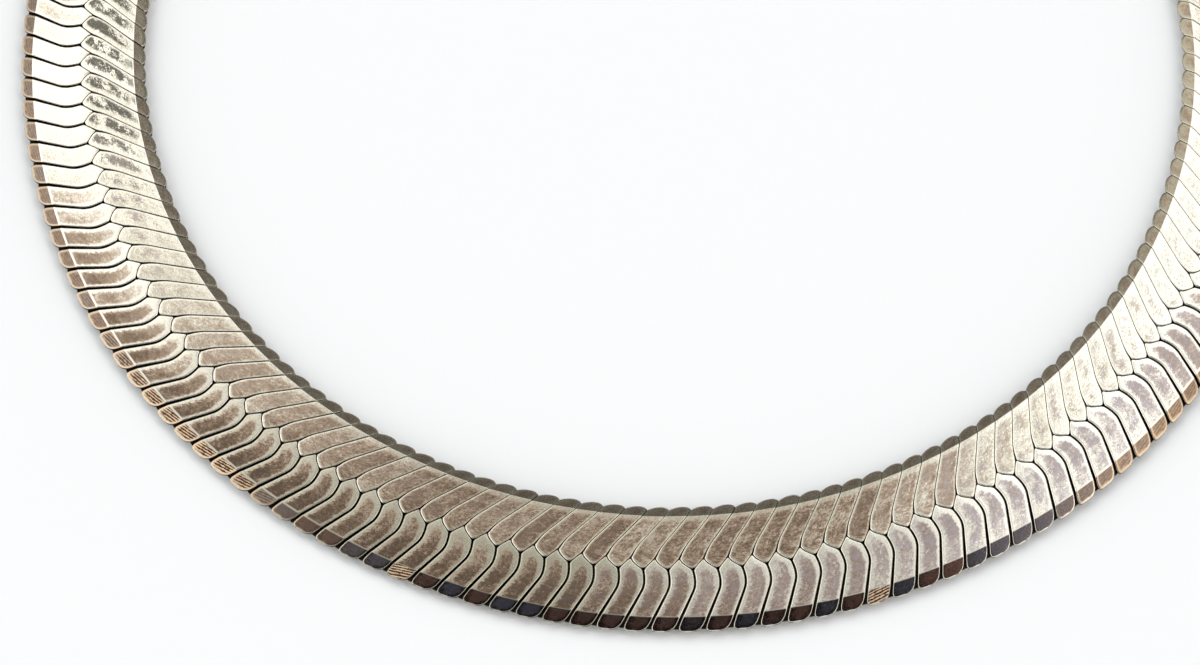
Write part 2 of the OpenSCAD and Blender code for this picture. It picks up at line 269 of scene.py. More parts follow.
class Plate:
    """One plate of a link as a closed shell: angle, radius and height of its points, and its faces."""

    def __init__(self, plan, sides, rows, edges, fine, outer):
        """sides are the plate's left, right, rim and tip as lines of [angle, y], rows its places across
        the band, and edges the width and depth in mm of the rounding along each side."""
        self.plan, self.outer = plan, outer
        grid = self.grid(sides, rows, fine)
        self.turn, self.y, self.u = (grid[:, :, i].ravel() for i in range(3))
        flat = self.flat(self.turn, self.y)
        self.away = {name: distance(flat, self.flat(*side.T)) for name, side in sides.items()}
        drop = np.zeros(len(flat))
        for name, (wide, deep) in edges.items():
            near_edge = np.clip(1 - self.away[name] / (wide * MM), 0, 1)
            drop = np.maximum(drop, deep * MM * (1 - np.sqrt(1 - near_edge**2)))
        self.z = -drop - plan.sizes.crown * (2 * self.u - 1) ** 2
        self.close(*grid.shape[:2])

    def grid(self, sides, rows, fine):
        """Rows of points as [angle, y, u], close together along the plate's sides."""
        s = self.plan.sizes
        near = np.array(FINE_COLUMNS if fine else PLAIN_COLUMNS) * MM
        middle_steps = 2
        if fine:
            middle_steps = 4 if self.outer else 8
        grid = []
        for y in rows:
            turn_l, turn_r = at_sides(sides, y)
            width = max((turn_r - turn_l) * (s.inner_radius + y), LEAST_WIDTH)
            inset = near * min(1, width / (NARROW * near[-1])) / width
            middle = np.linspace(inset[-1], 1 - inset[-1], middle_steps)[1:-1]
            u = np.concatenate([inset, middle, 1 - inset[::-1]])
            ys = np.full(len(u), y)
            if not self.outer and y < s.bevel_inner:
                rim = self.plan.rim_scallop(u)
                ys = rim + (s.bevel_inner - rim) * y / s.bevel_inner
            turn_l, turn_r = at_sides(sides, ys)
            grid.append(np.stack([turn_l + u * (turn_r - turn_l), ys, u], 1))
        return np.array(grid)

    def close(self, n_rows, n_cols):
        """Adds the walls and the bottom. All faces but the top and the wall at the rim are dark."""
        index = np.arange(n_rows * n_cols).reshape(n_rows, n_cols)
        quads = np.stack([index[:-1, :-1], index[1:, :-1], index[1:, 1:], index[:-1, 1:]], 2).reshape(-1, 4)
        self.ring = np.concatenate([index[0], index[1:, -1], index[-1, -2::-1], index[-2:0:-1, 0]])
        low_ring = len(self.turn) + np.arange(len(self.ring))
        walls = np.stack([self.ring, low_ring, np.roll(low_ring, -1), np.roll(self.ring, -1)], 1)
        self.faces = [*map(tuple, quads), *map(tuple, walls), tuple(low_ring)]
        rim_at = n_cols + n_rows - 2 if self.outer else 0
        at_rim = np.isin(np.arange(len(self.ring)), np.arange(rim_at, rim_at + n_cols - 1))
        self.dark = np.concatenate([np.zeros(len(quads)), ~at_rim, [1]]).astype(int)

    def flat(self, turn, y):
        """Points in the plane, in metres."""
        r = self.plan.sizes.inner_radius + y
        return np.stack([r * np.cos(turn), r * np.sin(turn)], 1)

    def placed(self, upper, turned_back, slope):
        """Points in their layer as [angle, radius, z], and how far each lies past the bevel's crease."""
        plan, s = self.plan, self.plan.sizes
        turn = self.turn - turned_back
        r = s.inner_radius + self.y
        straight = r * np.cos(turn - s.rim_angle)
        past_outer = straight - (s.inner_radius + s.band_width - s.bevel_outer)
        past_inner = s.inner_radius + s.bevel_inner - straight
        past = np.maximum(past_outer, past_inner)
        run, wide = plan.spine[1] - s.bevel_inner, s.bevel_inner
        if self.outer:
            run, wide = s.band_width - s.bevel_outer - plan.spine[1], s.bevel_outer
        fall = run * tan(s.fall) * np.interp(past, [-run, 0, wide], [0, 1, 0])
        bevel = np.maximum(past, 0) * s.bevel_drop / wide
        across = (self.u - 0.5) * plan.step * r
        along = self.y - self.y.mean()
        z = s.thickness - bevel - fall + self.z + across * slope[0] + along * slope[1]
        z -= max(z.max() - s.thickness, 0)
        low_z = np.full(len(self.ring), s.thickness - plan.layer)
        points = np.stack([np.concatenate([turn, turn[self.ring]]), np.concatenate([r, r[self.ring]]),
                           np.concatenate([z, low_z])], 1)
        if not upper:
            middle = s.inner_radius + s.band_width / 2
            points[:, 1] = middle - (points[:, 1] - middle) * (1 - 2 * s.recess / s.band_width)
            points[:, 2] = s.thickness - points[:, 2]
        return points, past

    def measures(self, past):
        """What the finish reads at each point, in mm: the place across the band, and the distances from
        the plate's sides, rim and tip and past the crease of its bevel."""
        values = {"from_" + name: away for name, away in self.away.items()}
        values.update(across_band=self.y, past_crease=past)
        return {name: np.concatenate([v, v[self.ring]]) / MM for name, v in values.items()}


def outer_plate(plan, fine):
    """Outer plate: from the wedge at the spine to the rounded corners at the rim."""
    s = plan.sizes
    rim, corner = s.band_width, s.corner
    long_corner = LONG_CORNER * corner
    bend = 9 if fine else 4
    wedge_y = plan.spine[1] + plan.wedge[1]
    start_y = plan.tip[1] + 0.1 * MM
    crease = rim - s.bevel_outer

    def edge_points(ys, side):
        return np.stack([plan.outer_edge(ys, side), ys], 1)

    def corner_points(size, side):
        end = edge_points(np.array([rim]), side)[0]
        below = edge_points(np.array([rim - size]), side)[0]
        return corner_bend(below, end, end + np.array([side * size, 0]), bend)

    wedge_left = plan.turned(plan.spine + plan.wedge, 1)
    heel = plan.turned(plan.heel)
    left = np.vstack([edge_points(np.linspace(start_y, rim - corner, 30), 1), corner_points(corner, 1)])
    left = np.vstack([wedge_left, heel, plan.turned(left)])
    right = np.vstack([[plan.spine[0] - plan.wedge[0] / 2, wedge_y],
                       plan.tip_edge(np.linspace(0.82, 0.12, 8), -1),
                       edge_points(np.linspace(start_y, rim - long_corner, 30), -1),
                       corner_points(long_corner, -1)])
    right = plan.turned(right, 1)
    # The upper plates have rows close together at the wedge, the crease and the rim, where they are rounded
    if fine:
        rows = row_steps(wedge_y + np.array([0, 0.03, 0.09, 0.2, 0.35, 0.55]) * MM,
                         plan.tip[1] + np.array([-0.12, 0]) * MM, np.linspace(start_y, plan.turn[1], 8),
                         np.linspace(plan.turn[1], crease - 0.3 * MM, 4),
                         crease + np.array([-0.09, -0.03, 0.03, 0.09, 0.4, 0.75]) * MM,
                         rim - np.array([0.5, 0.33, 0.2, 0.11, 0.05, 0.015, 0]) * MM)
    else:
        rows = row_steps(wedge_y, plan.tip[1] - 0.12 * MM, np.linspace(start_y, plan.turn[1], 4), crease,
                         rim - np.array([0.5, 0.2, 0.05, 0]) * MM)
    sides = {"left": left, "right": right, "rim": np.vstack([left[-1:], right[-1:]]),
             "tip": np.vstack([heel, wedge_left, right[:1]])}
    edges = {"left": (0.1, 0.06), "right": (0.05, 0.04), "rim": (0.1, 0.08), "tip": (0.06, 0.04)}
    return Plate(plan, sides, rows, edges, fine, True)


def inner_plate(plan, fine):
    """Inner plate: from the scalloped rim to the rounded tip behind the spine."""
    s = plan.sizes
    tip_start = plan.tip + np.array([0.36, -0.42]) * MM
    tip_corner = plan.tip + np.array([0.02, -0.04]) * MM
    tip_end = plan.tip_edge(np.array([0.24]), 1)[0]
    tip_bend = corner_bend(tip_start, tip_corner, tip_end, 13 if fine else 7)
    top = tip_bend[:, 1].argmax()
    low_ys = np.linspace(0, plan.spine[1] - 0.35 * MM, 40)

    def edge_points(side):
        return np.stack([plan.inner_edge(low_ys, side), low_ys], 1)

    neck = plan.spine + np.array([0.08 * MM + plan.inner_gap, -0.1 * MM])
    fork = plan.spine - np.array([0.1 * MM + plan.inner_gap, 0.08 * MM])
    left = plan.turned(np.vstack([edge_points(1), neck, plan.tip_edge(np.linspace(0.8, 0.3, 6), 1),
                                  tip_bend[: top - 1 : -1]]))
    right = plan.turned(np.vstack([edge_points(-1), fork]), 1)
    right = np.vstack([right, plan.turned(tip_bend[: top + 1])])
    peak_y = left[-1, 1]
    # The upper plates have rows close together at the rim, the crease and the tip, where they are rounded
    if fine:
        rows = row_steps(np.array([0, 0.03, 0.1, 0.22, 0.45, 0.8]) * MM,
                         s.bevel_inner + np.array([-0.09, -0.03, 0.03, 0.09]) * MM,
                         np.linspace(s.bevel_inner + 0.35 * MM, plan.arc_end[1], 4),
                         np.linspace(plan.arc_end[1], low_ys[-1], 5), [neck[1]],
                         peak_y - np.array([0.78, 0.6, 0.42, 0.28, 0.18, 0.1, 0.05, 0.018, 0.002]) * MM)
    else:
        rows = row_steps(np.array([0, 0.1, 0.5]) * MM, s.bevel_inner,
                         np.linspace(s.bevel_inner, low_ys[-1], 4)[1:], [neck[1]],
                         peak_y - np.array([0.6, 0.28, 0.08, 0.004]) * MM)
    u = np.linspace(0, 1, 21)
    rim_y = plan.rim_scallop(u)
    sides = {"left": left, "right": right}
    rim_l, rim_r = at_sides(sides, rim_y)
    sides["rim"] = np.stack([rim_l * (1 - u) + rim_r * u, rim_y], 1)
    count = len(low_ys) + 1
    sides["tip"] = np.vstack([right[count:], left[count:][::-1]])
    edges = {"left": (0.07, 0.05), "right": (0.04, 0.03), "rim": (0.2, 0.1), "tip": (0.07, 0.05)}
    return Plate(plan, sides, rows, edges, fine, False)


def block(corners, low, high):
    """Small upright block on four corners given as [angle, radius], as points and faces."""
    points = np.array([[t, r, z] for z in (low, high) for t, r in corners])
    return points, [(3, 2, 1, 0), (4, 5, 6, 7), (0, 1, 5, 4), (1, 2, 6, 5), (2, 3, 7, 6), (3, 0, 4, 7)]


def joins(plan):
    """The two folds at the rims and the post in the spine, which join a link's layers."""
    s = plan.sizes
    inner, outer = s.inner_radius + 2 * s.recess, s.inner_radius + s.band_width - 2 * s.recess
    middle = (inner + outer) / 2
    start, end = radians(-1.26), radians(-0.24)
    deep = 0.6 * MM
    post = plan.step + plan.spine[0] / (s.inner_radius + plan.spine[1])
    half_l, half_w = 0.5 * MM / middle, 0.38 * MM
    corners = (
        ((start, outer - deep), (end, outer - deep), (end, outer), (start, outer)),
        ((start, inner), (end, inner), (end, inner + deep), (start, inner + deep)),
        ((post - half_l, middle), (post, middle - half_w), (post + half_l, middle), (post, middle + half_w)),
    )
    low, high = 0.42 * s.thickness, 0.58 * s.thickness
    return [block(c, low, high) for c in corners]


# How the finish changes round the ring: rows of a place in degrees and the share there. The photo's left is
# at 180 degrees, its middle at 270 and its right at 360. Bright plates are those where the lights reflect:
# their tarnish is drawn thin and their silver pale, as painted highlight
BRIGHT_OUTER = ((170, 1), (184, 2), (196, 1.7), (204, 1.2), (216, 0.8), (232, 0.2), (262, 0), (269, 0.5),
                (290, 0.55), (300, 1), (330, 0.8), (380, 0))
BRIGHT_INNER = ((160, 0.6), (178, 1), (192, 1), (210, 0.9), (226, 0.6), (246, 0.25), (285, 0.15), (300, 0.8),
                (314, 1), (350, 1), (400, 0))

# Clouds of lilac and rose tarnish cover bright plates, and turn to pewter above 1: partly tarnish, partly a
# painted dark reflection of tilted plates
BLOOM_OUTER = ((255, 0), (275, 0.5), (300, 1), (316, 1), (332, 0.3))
BLOOM_INNER = ((186, 2.2), (206, 1), (214, 0.3), (286, 0), (300, 1), (320, 1), (330, 0.6))

# Wear has opened the dark film on the outer bevels, and rubbed some of them to golden silver
OPENED = ((190, 1), (205, 0.9), (233, 0.8), (250, 0), (294, 0), (304, 0.2), (312, 1))
GOLDEN = ((190, 0.05), (212, 0.1), (220, 0.8), (231, 1), (235, 0), (305, 0), (314, 0.1), (330, 0.1))

# Two golden bevels stand alone among the dark ones: partly worn silver, partly a painted glint standing in
# for a single tilted facet
LONE_GOLDEN = (246.7, 287.0)
LONE_SHARE = 0.9


def share_at(place, rows):
    """The share at a place on the ring, from the rows of one of the tables above."""
    return np.interp(place, *zip(*rows))


def finish_facts(place, outer, upper, step, seed):
    """What the finish reads of a whole plate: its row, its seed and its shares from the tables above."""
    golden = share_at(place, GOLDEN)
    if any(abs(place - lone) < step / 2 for lone in LONE_GOLDEN):
        golden = max(golden, LONE_SHARE)
    return {"outer_row": float(outer), "plate_seed": seed,
            "bright": share_at(place, BRIGHT_OUTER if outer else BRIGHT_INNER),
            "bloom": share_at(place, BLOOM_OUTER if outer else BLOOM_INNER),
            "opened": share_at(place, OPENED), "golden": golden * outer * upper}


class Shells:
    """Closed shells gathered for one mesh, with their material and the measures that the finish reads."""

    def __init__(self):
        self.points, self.faces, self.dark, self.values = [], [], [], {}
        self.total = 0

    def take(self, points, faces, dark, values):
        """Adds a shell given as [angle, radius, z]. dark is 1 for each face in the gaps' material."""
        self.points.append(points)
        self.faces.extend([[int(self.total + i) for i in face] for face in faces])
        self.dark.append(dark)
        self.total += len(points)
        for name, value in values.items():
            self.values.setdefault(name, []).append(np.broadcast_to(value, len(points)))

    def mesh(self, name):
        """The mesh of all shells."""
        turn, r, z = np.concatenate(self.points).T
        mesh = bpy.data.meshes.new(name)
        mesh.from_pydata(np.stack([r * np.cos(turn), r * np.sin(turn), z], 1).tolist(), [], self.faces)
        mesh.polygons.foreach_set("material_index", np.concatenate(self.dark).astype(np.int32))
        mesh.polygons.foreach_set("use_smooth", np.ones(len(mesh.polygons), bool))
        for value_name, parts in self.values.items():
            attribute = mesh.attributes.new(value_name, "FLOAT", "POINT")
            attribute.data.foreach_set("value", np.concatenate(parts).astype(np.float32))
        mesh.update()
        mesh.set_sharp_from_angle(angle=radians(50))
        return mesh


def chain_mesh(name, plan, first, last, seed):
    """One half of the chain, from its first to its last link, as a single mesh."""
    s = plan.sizes
    random = np.random.RandomState(seed)
    plates = [(make(plan, upper), upper, back) for upper in (True, False)
              for make, back in ((outer_plate, 0), (inner_plate, REACH * plan.step))]
    blocks = joins(plan)
    shells = Shells()
    for k in range(first, last + 1):
        zero = s.front_angle + k * s.link_step
        for plate, upper, back in plates:
            points, past = plate.placed(upper, back, random.normal(0, tan(s.tilt), 2))
            place = degrees(zero + s.rim_angle - back)
            facts = finish_facts(place, plate.outer, upper, degrees(plan.step), random.rand())
            shells.take(points + (zero, 0, 0), plate.faces, plate.dark, {**plate.measures(past), **facts})
        for points, faces in blocks:
            dark = np.ones(len(faces), int)
            shells.take(points + (zero, 0, 0), faces, dark, dict.fromkeys(shells.values, 0.0))
    return shells.mesh(name)


def add(tree, kind, inputs=(), output=0, **settings):
    """Adds a node with its settings and inputs, which are values or other outputs, and gives one output."""
    made = tree.nodes.new("ShaderNode" + kind)
    for name, value in settings.items():
        setattr(made, name, value)
    for key, value in inputs.items() if isinstance(inputs, dict) else enumerate(inputs):
        if isinstance(value, bpy.types.NodeSocket):
            tree.links.new(value, made.inputs[key])
        else:
            made.inputs[key].default_value = value
    return made.outputs[output] if made.outputs else None


# Settings that many nodes share
ADD = {"operation": "ADD"}
MULTIPLY = {"operation": "MULTIPLY"}
MULTIPLY_ADD = {"operation": "MULTIPLY_ADD"}
MINIMUM = {"operation": "MINIMUM"}
SMOOTH = {"interpolation_type": "SMOOTHSTEP"}
COLOURS = {"data_type": "RGBA", "output": 2}

# Inputs of a Mix node: by its share, a number goes from one to another, and a colour lies over another
SHARE, FROM, TO, UNDER, OVER = 0, 2, 3, 6, 7

# Measures and facts that the tarnished silver reads from the mesh
READ = ("from_left", "from_right", "from_rim", "from_tip", "across_band", "past_crease", "outer_row",
        "plate_seed", "bright", "bloom", "opened", "golden")

# Patterns of the tarnish: name, size in mm, detail and roughness. Real grains, specks and brush marks are
# finer, and drawn as coarse as they need to show
PATTERNS = (
    ("patches", 1.3, 3, 0.6),
    ("grains", 0.32, 4, 0.75),
    ("specks", 0.12, 2, 0.5),
    ("marks", 0.14, 3, 0.6),
)

# Scratches: width in mm, length in widths and directions. Real ones, 0.02 mm wide, would not show
SCRATCH_WIDTH = 0.05
SCRATCH_LENGTH = 30
SCRATCH_TURNS = (12, 68, -40)

# Distance in mm between the lines that the diamond cutter left on the outer bevels
CUT_STEP = 0.27

# Height in mm of the patterns from which the plates take theirs, so that no two are alike
SEED_STEP = 97.0


def new_material(name, look, finish):
    """A material whose shader has the inputs that a look builds from the colours of the finish."""
    material = bpy.data.materials.new(name)
    material.use_nodes = True
    material.node_tree.nodes.clear()
    node = partial(add, material.node_tree)
    tints = {name: (*getattr(finish, name), 1) for name in finish.__annotations__}
    node("OutputMaterial", {"Surface": node("BsdfPrincipled", look(node, tints))})
    return material


def readings(node):
    """Outputs by name: what the mesh tells the finish at each point, and the patterns of the tarnish."""
    here = SimpleNamespace(**{name: node("Attribute", attribute_name=name, output="Fac") for name in READ})
    own = node("Math", (here.plate_seed, SEED_STEP), **MULTIPLY)
    plate = node("CombineXYZ", (here.from_left, here.across_band, own))
    brushed = node("Mapping", {0: plate, "Scale": (0.45, 1, 1)})
    for name, size, detail, rough in PATTERNS:
        noise = node("TexNoise", {"Vector": brushed if name == "marks" else plate, "Scale": 1 / size,
                                  "Detail": detail, "Roughness": rough})
        setattr(here, name, node("Math", (noise, -0.5), **ADD))
    here.ragged = node("Math", (here.marks, 1.2, here.grains), **MULTIPLY_ADD)
    here.inner_row = node("Math", (1.0, here.outer_row), operation="SUBTRACT")
    # The right margin of an outer plate is wider near the spine
    widening = node("MapRange", (here.across_band, 10.5, 8.6, 0, 0.3), **SMOOTH)
    here.margin = node("Math", (here.from_right, widening), operation="SUBTRACT")
    wave = node("Math", (here.from_left, 0.2, here.past_crease), **MULTIPLY_ADD)
    wave = node("Math", (wave, 2 * pi / CUT_STEP), **MULTIPLY)
    wave = node("Math", (wave,), operation="SINE")
    here.cuts = node("Math", (here.ragged, 4.0, wave), **MULTIPLY_ADD)
    here.on_bevel = node("MapRange", (here.past_crease, 0.02, 0.05), **SMOOTH)
    here.scratch = scratches(node)
    return here


def scratches(node):
    """Fine scratches in a few directions, all over the chain."""
    place = node("TexCoord", output="Object")
    found = 0.0
    for turn in SCRATCH_TURNS:
        leaning = node("Mapping", {0: place, "Rotation": (0, 0, radians(turn)),
                                   "Scale": (1, SCRATCH_LENGTH, 1)}, vector_type="TEXTURE")
        lines = node("TexNoise", {"Vector": leaning, "Scale": 1 / (SCRATCH_WIDTH * MM), "Detail": 1})
        lines = node("MapRange", (lines, 0.66, 0.76), **SMOOTH)
        found = node("Math", (lines, found), operation="MAXIMUM")
    return found


def faded(node, edges):
    """A share that fades by the plate's edges. Each row of edges has the distance from an edge, the pattern
    that frays it and how far, the distances at which the fading starts and ends, and the shares there."""
    share = 1.0
    for away, pattern, fray, start, end, share_start, share_end in edges:
        frayed = node("Math", (pattern, fray, away), **MULTIPLY_ADD)
        fading = node("MapRange", (frayed, start, end, share_start, share_end), **SMOOTH)
        share = node("Math", (fading, share), **MULTIPLY)
    return share


def layered(node, base, *layers):
    """A colour with layers over it, each of them given as its share and its colour."""
    for share, over in layers:
        base = node("Mix", {SHARE: share, UNDER: base, OVER: over}, **COLOURS)
    return base


def tarnish_depth(node, here):
    """Depth of the tarnish on the flats. The outer plates have a core clear of their sides and tip, and the
    inner plates are tarnished all over, but less along their sides, beside the bevel and round the tip."""
    core = faded(node, ((here.from_left, here.ragged, 0.6, 0.2, 0.8, 0, 1),
                        (here.margin, here.grains, 0.3, 0.12, 0.5, 0, 1),
                        (here.from_tip, here.patches, 2.0, 0.3, 1.5, 0, 1)))
    # The core is deepest towards the rim, or the spine where the plates bloom, and the brightest plates have
    # none: there a painted highlight stands for the lights' reflection
    to_rim = node("MapRange", (here.across_band, 7.5, 12.4, 0.6, 1.4), **SMOOTH)
    to_spine = node("MapRange", (here.across_band, 9, 12.6, 0.8, 0.35), **SMOOTH)
    deepest = node("Mix", {SHARE: here.bloom, FROM: to_rim, TO: to_spine})
    core = node("Math", (core, deepest), **MULTIPLY)
    core = node("MapRange", (here.bright, 1, 2, core, 0), **SMOOTH)
    cloud = faded(node, ((here.past_crease, here.ragged, 0.5, -0.8, -0.25, 1, 0.25),
                         (here.from_left, here.grains, 0.0, 0.08, 0.36, 0, 1),
                         (here.from_right, here.grains, 0.3, 0.04, 0.3, 0.3, 1),
                         (here.from_tip, here.grains, 0.4, 0.1, 0.45, 0.45, 0.85)))
    tarnish = node("Mix", {SHARE: here.outer_row, FROM: cloud, TO: core})

    # Patches, grain and specks break it up, and each plate has its own depth
    fine = node("Math", (here.specks, 0.7), **MULTIPLY)
    fine = node("Math", (here.grains, 1.5, fine), **MULTIPLY_ADD)
    calmer = node("MapRange", (here.bright, 0, 1, 1, 0.5), **SMOOTH)
    own = node("MapRange", (here.plate_seed, 0, 1, 0.7, 1.15), **SMOOTH)
    spread = node("Math", (fine, calmer, own), **MULTIPLY_ADD)
    spread = node("Math", (here.patches, 1.8, spread), **MULTIPLY_ADD)
    tarnish = node("Math", (tarnish, spread), **MULTIPLY)

    # On bright plates the tarnish is drawn thinner, most of all on the inner ones, as painted highlight, and
    # it is freckled everywhere
    thinned = node("Math", (here.outer_row, 0.3, 0.12), **MULTIPLY_ADD)
    thinned = node("Mix", {SHARE: here.bright, FROM: 1.0, TO: thinned})
    tarnish = node("Math", (tarnish, thinned, 0.1), **MULTIPLY_ADD)
    freckles = node("Math", (here.grains, here.specks), **ADD)
    fainter = node("MapRange", (here.bright, 0, 1, 1.1, 0.4), **SMOOTH)
    return node("Math", (freckles, fainter, tarnish), **MULTIPLY_ADD)


def flat_colour(node, here, tints, clean, tarnish):
    """Colour of the flats: films of tarnish one over the other over a pale base, which on bright plates is
    painted highlight, with clouds over them on bright plates. The pewter clouds are partly a painted dark
    reflection.
    """
    khaki = node("MapRange", (here.bright, 0.7, 1, 0, 0.9), **SMOOTH)
    khaki = node("Math", (khaki, here.inner_row), **MULTIPLY)
    lilac = node("Math", (here.bloom, here.outer_row), **MULTIPLY)
    lilac = node("Math", (lilac, 0.55), **MULTIPLY)
    thin = layered(node, tints["rose"], (khaki, tints["khaki"]), (lilac, tints["lilac"]))
    depths = ((thin, 0.05, 0.5), (tints["brown"], 0.3, 0.95), (tints["slate"], 0.75, 1.5))
    films = [(node("MapRange", (tarnish, start, full), **SMOOTH), film) for film, start, full in depths]

    # The clouds stay off the sides and thin out towards the bevel. Those of pewter are a little wider
    clouds = node("Math", (here.grains, 0.8, here.specks), **MULTIPLY_ADD)
    clouds = node("Math", (here.patches, 2.0, clouds), **MULTIPLY_ADD)
    wider = node("MapRange", (here.bloom, 1.1, 2.2, 0, 0.16), **SMOOTH)
    clouds = node("Math", (clouds, wider), **ADD)
    clouds = node("MapRange", (clouds, -0.14, 0.36, 0, 0.9), **SMOOTH)
    clouds = node("Math", (clouds, here.bloom), **MULTIPLY)
    side = node("Math", (here.margin, here.from_left), **MINIMUM)
    clouds = node("MapRange", (side, 0.05, 0.6, 0, clouds), **SMOOTH)
    thinning = node("MapRange", (here.past_crease, -1.6, -0.5, 1, 0.4), **SMOOTH)
    clouds = node("Math", (clouds, thinning), **MULTIPLY)
    rose = node("Math", (here.outer_row, -0.08, here.grains), **MULTIPLY_ADD)
    rose = node("MapRange", (rose, -0.1, 0.1), **SMOOTH)
    # Pewter clouds, partly a painted dark reflection of tilted plates, on the inner plates at the far left
    pewter = node("MapRange", (here.bloom, 1.1, 2), **SMOOTH)
    tint = layered(node, tints["lilac"], (rose, tints["rose"]), (pewter, tints["pewter"]))
    return layered(node, clean, *films, (clouds, tint))


def outer_bevel_colour(node, here, tints, clean):
    """Colour of the outer bevels: a dark film, or golden silver between rusty lines where it is worn, inside
    a paler outline. Wear widens and warms the outline, and thins the film on the cutter's lines."""
    tone = node("Math", (here.plate_seed, 7.0), **MULTIPLY)
    tone = node("Math", (tone,), operation="FRACT")
    tone = node("MapRange", (tone, 0.45, 0.55), **SMOOTH)
    thinned = node("Math", (here.cuts, 0.1, here.grains), **MULTIPLY_ADD)
    thinned = node("MapRange", (thinned, -0.3, 0.25, 0.5, 1), **SMOOTH)
    thinned = node("Math", (here.opened, thinned), **MULTIPLY)
    ridges = node("MapRange", (here.cuts, -0.3, 0.9), **SMOOTH)
    worn = node("Mix", {SHARE: ridges, UNDER: tints["rust"], OVER: tints["golden"]}, **COLOURS)
    film = layered(node, tints["blue_black"], (tone, tints["brown_black"]), (thinned, tints["umber"]),
                   (here.golden, worn))
    warm = node("Mix", {SHARE: here.golden, UNDER: tints["tan"], OVER: tints["golden"]}, **COLOURS)
    away = node("Math", (here.from_left, here.from_rim), **MINIMUM)
    away = node("Math", (away, node("Math", (here.from_right, 1.6), **MULTIPLY)), **MINIMUM)
    away = node("Math", (here.grains, 0.15, away), **MULTIPLY_ADD)
    start = node("MapRange", (here.opened, 0, 1, 0.02, 0.15), **SMOOTH)
    end = node("MapRange", (here.opened, 0, 1, 0.12, 0.42), **SMOOTH)
    covered = node("MapRange", (away, start, end), **SMOOTH)
    return layered(node, clean, (here.opened, warm), (covered, film))


def inner_bevel_colour(node, here, tints):
    """Colour of the inner bevels: an even grey film, with brown blotches in the middle."""
    away = node("Math", (here.from_left, here.from_right), **MINIMUM)
    away = node("Math", (away, here.from_rim), **MINIMUM)
    blotches = node("Math", (here.patches, here.grains), **ADD)
    blotches = node("MapRange", (blotches, -0.2, 0.2, 0.1, 0.75), **SMOOTH)
    blotches = node("MapRange", (away, 0.1, 0.5, 0, blotches), **SMOOTH)
    return node("Mix", {SHARE: blotches, UNDER: tints["grey"], OVER: tints["brown"]}, **COLOURS)


def scratches_and_crease_highlights(node, here):
    """Share of pale silver on the scratches, which are wear, and of a painted highlight along the creases,
    which is wider where wear has opened the outer bevels.
    """
    worn = node("Math", (here.opened, here.outer_row), **MULTIPLY)
    away = node("Math", (here.past_crease, 0.02), **ADD)
    away = node("Math", (away,), operation="ABSOLUTE")
    away = node("Math", (worn, -0.07, away), **MULTIPLY_ADD)
    at_crease = node("MapRange", (here.opened, 0, 1, 0.5, 1), **SMOOTH)
    at_crease = node("MapRange", (away, 0.02, 0.09, at_crease, 0), **SMOOTH)
    return node("Math", (here.scratch, 0.35, at_crease), **MULTIPLY_ADD)


def sill_highlights(node, here):
    """Share of a painted highlight along the left side of the inner plates, which stands over the gap: a pale
    silver line, brightest beside the spine."""
    away = node("Math", (here.grains, 0.1, here.from_left), **MULTIPLY_ADD)
    share = node("MapRange", (here.past_crease, -4.5, -2, 0.75, 0.225), **SMOOTH)
    share = node("Math", (share, here.inner_row), **MULTIPLY)
    return node("MapRange", (away, 0.04, 0.12, share, 0), **SMOOTH)


def relief_height(node, here):
    """Height of the fine relief: pitted tarnish, brush marks and scratches, and cuts on the outer bevels."""
    on_outer = node("Math", (here.on_bevel, here.outer_row), **MULTIPLY)
    cuts = node("Math", (on_outer, here.cuts), **MULTIPLY)
    patterns = ((cuts, 0.2), (here.grains, 0.6), (here.patches, 1.5), (here.marks, 0.4), (here.scratch, -0.3))
    height = 0.0
    for pattern, depth in patterns:
        height = node("Math", (pattern, depth, height), **MULTIPLY_ADD)
    return height


def tarnished_silver(node, tints):
    """Rolled silver strip with diamond-cut bevels and years of tarnish. Its edges gleam pale with wear and
    with painted highlights along the creases and the inner plates' sills, the plates where the lights reflect
    are painted paler as painted highlight, the middles are mottled brown, and the bevels keep the cutter's
    fine lines under a dark or golden film."""
    here = readings(node)
    # The pale base: beige film, turning to pale silver as painted highlight on bright plates
    clean = node("Mix", {SHARE: here.bright, UNDER: tints["beige"], OVER: tints["rubbed"]}, **COLOURS)
    tarnish = tarnish_depth(node, here)
    flat = flat_colour(node, here, tints, clean, tarnish)
    inner_bevel = inner_bevel_colour(node, here, tints)
    outer_bevel = outer_bevel_colour(node, here, tints, clean)
    bevel = node("Mix", {SHARE: here.outer_row, UNDER: inner_bevel, OVER: outer_bevel}, **COLOURS)
    # On top: pale silver on the scratches, a painted highlight along the creases and a painted highlight
    # along the inner plates' sills
    painted = layered(node, flat, (here.on_bevel, bevel), (scratches_and_crease_highlights(node, here), clean),
                      (sill_highlights(node, here), tints["rubbed"]))

    # Tarnish dulls the silver, and so does the wear on the golden bevels
    dull = node("MapRange", (tarnish, 0, 1, 0.26, 0.42), **SMOOTH)
    dull = node("Math", (here.specks, 0.2, dull), **MULTIPLY_ADD)
    worn = node("Math", (here.golden, here.on_bevel), **MULTIPLY)
    dull = node("Math", (worn, 0.35, dull), **MULTIPLY_ADD)
    bump = node("Bump", {"Height": relief_height(node, here), "Strength": 0.5, "Distance": 0.01 * MM})
    return {"Base Color": painted, "Metallic": 1, "Roughness": dull, "Normal": bump}


